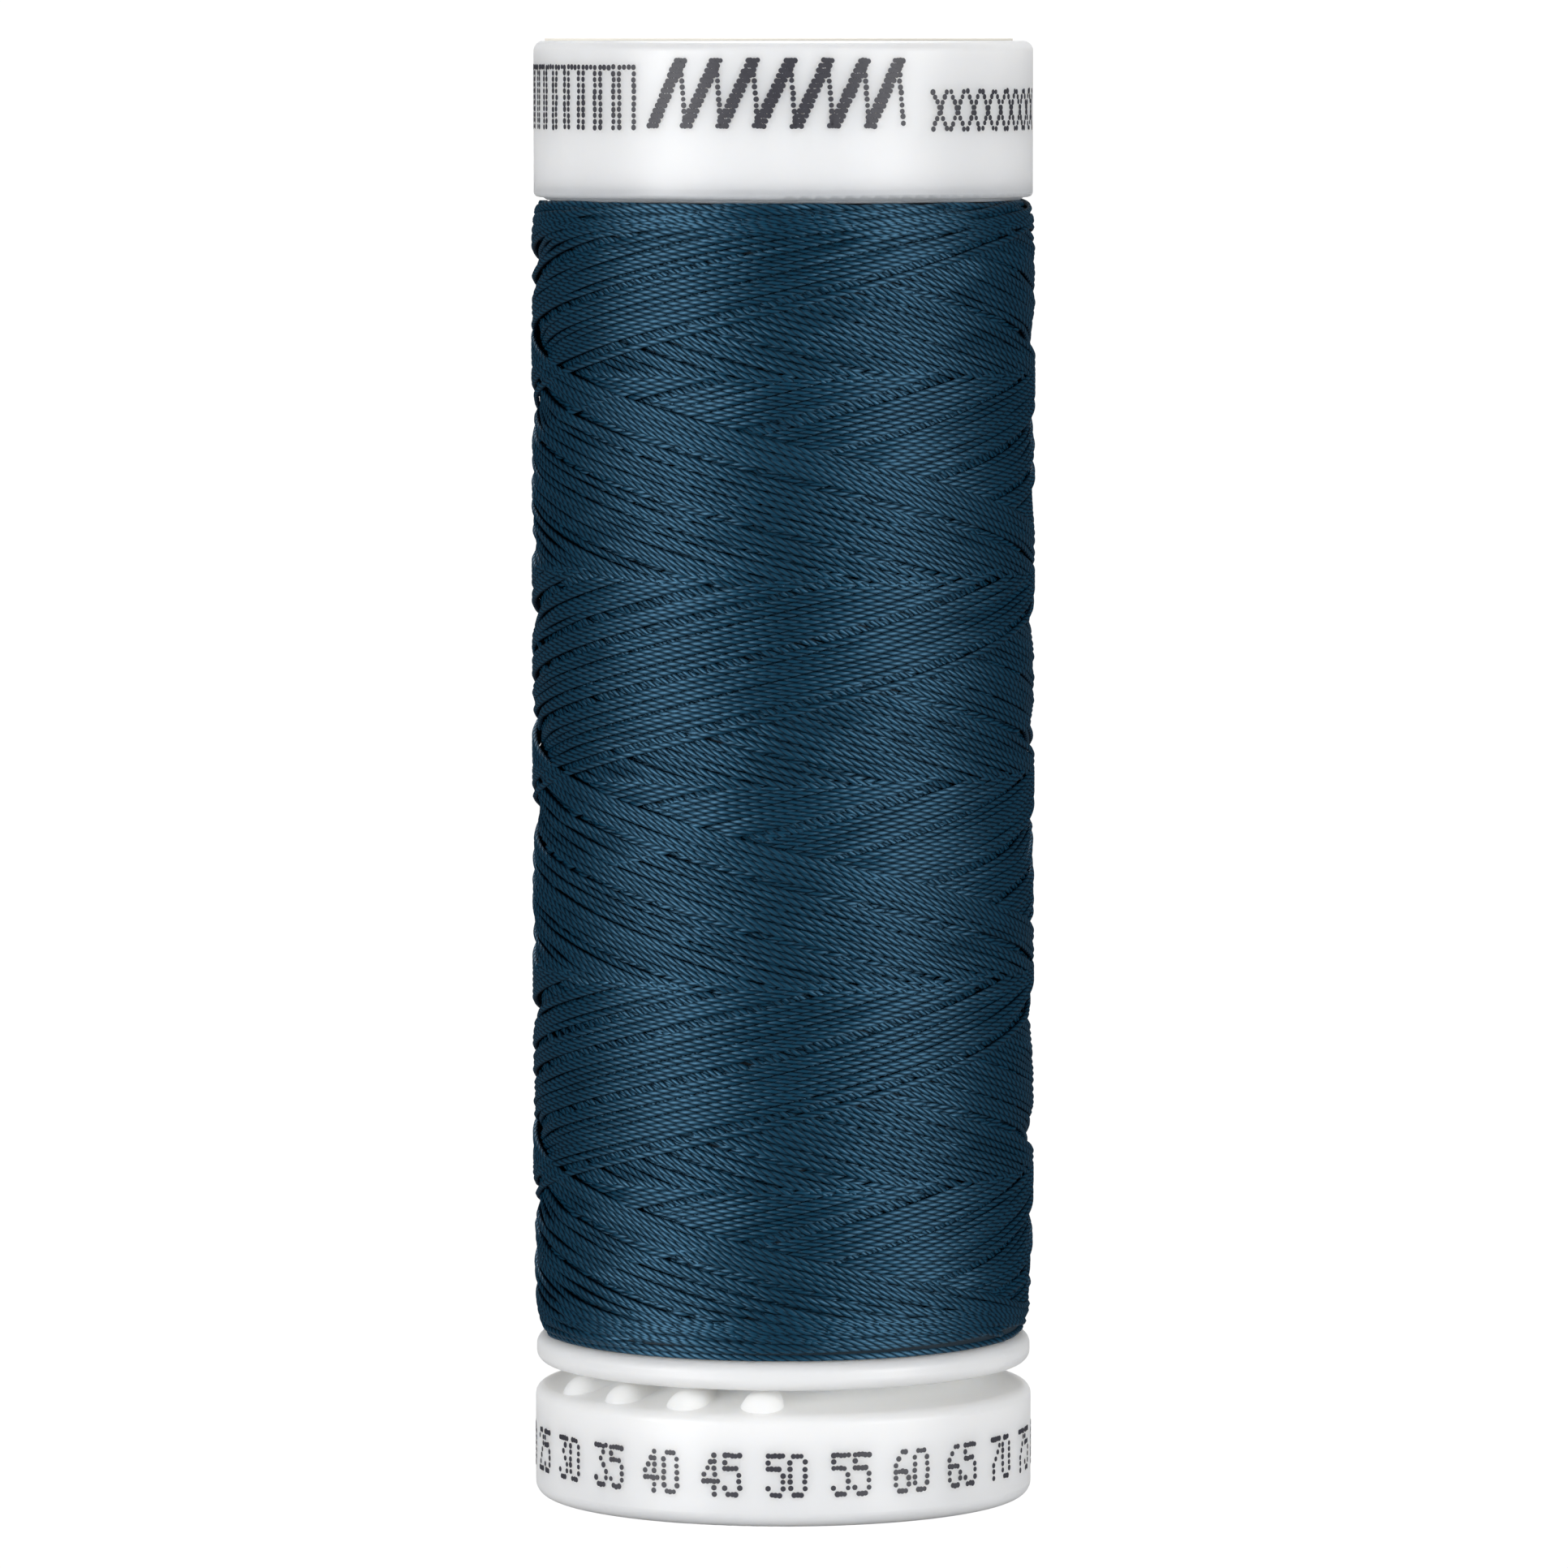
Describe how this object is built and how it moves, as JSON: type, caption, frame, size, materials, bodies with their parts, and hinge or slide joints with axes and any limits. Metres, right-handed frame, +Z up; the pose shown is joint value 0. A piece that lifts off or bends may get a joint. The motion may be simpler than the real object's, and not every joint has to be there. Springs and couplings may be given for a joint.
{
  "type": "spool of sewing thread",
  "caption": "Slim moulded spool of cross-wound sewing thread, with a cap above and a snap base that pulls down to lock the thread's end.",
  "frame": {"origin": "centre of the foot that the spool stands on", "axes": "+Z up along the spool's axis; -Y is the front, where the bumps of the thread lock show on the left (-X)"},
  "size_m": [0.0222, 0.0222, 0.0645],
  "materials": {
    "white_moulding": "satin injection-moulded white plastic",
    "label_paper": "uncoated paper",
    "polyester_thread": "twisted polyester sewing thread with a soft sheen"
  },
  "bodies": {
    "spool": {"spool_body": "white_moulding", "top_cap": "white_moulding", "top_label": "label_paper", "thread_core": "polyester_thread", "thread_winding": "polyester_thread"},
    "base": {"snap_base": "white_moulding"}
  },
  "joints": [
    {"name": "base_pull", "type": "slide", "parent": "spool", "child": "base", "axis": [0, 0, -1], "range_m": [0, 0.0025]}
  ]
}
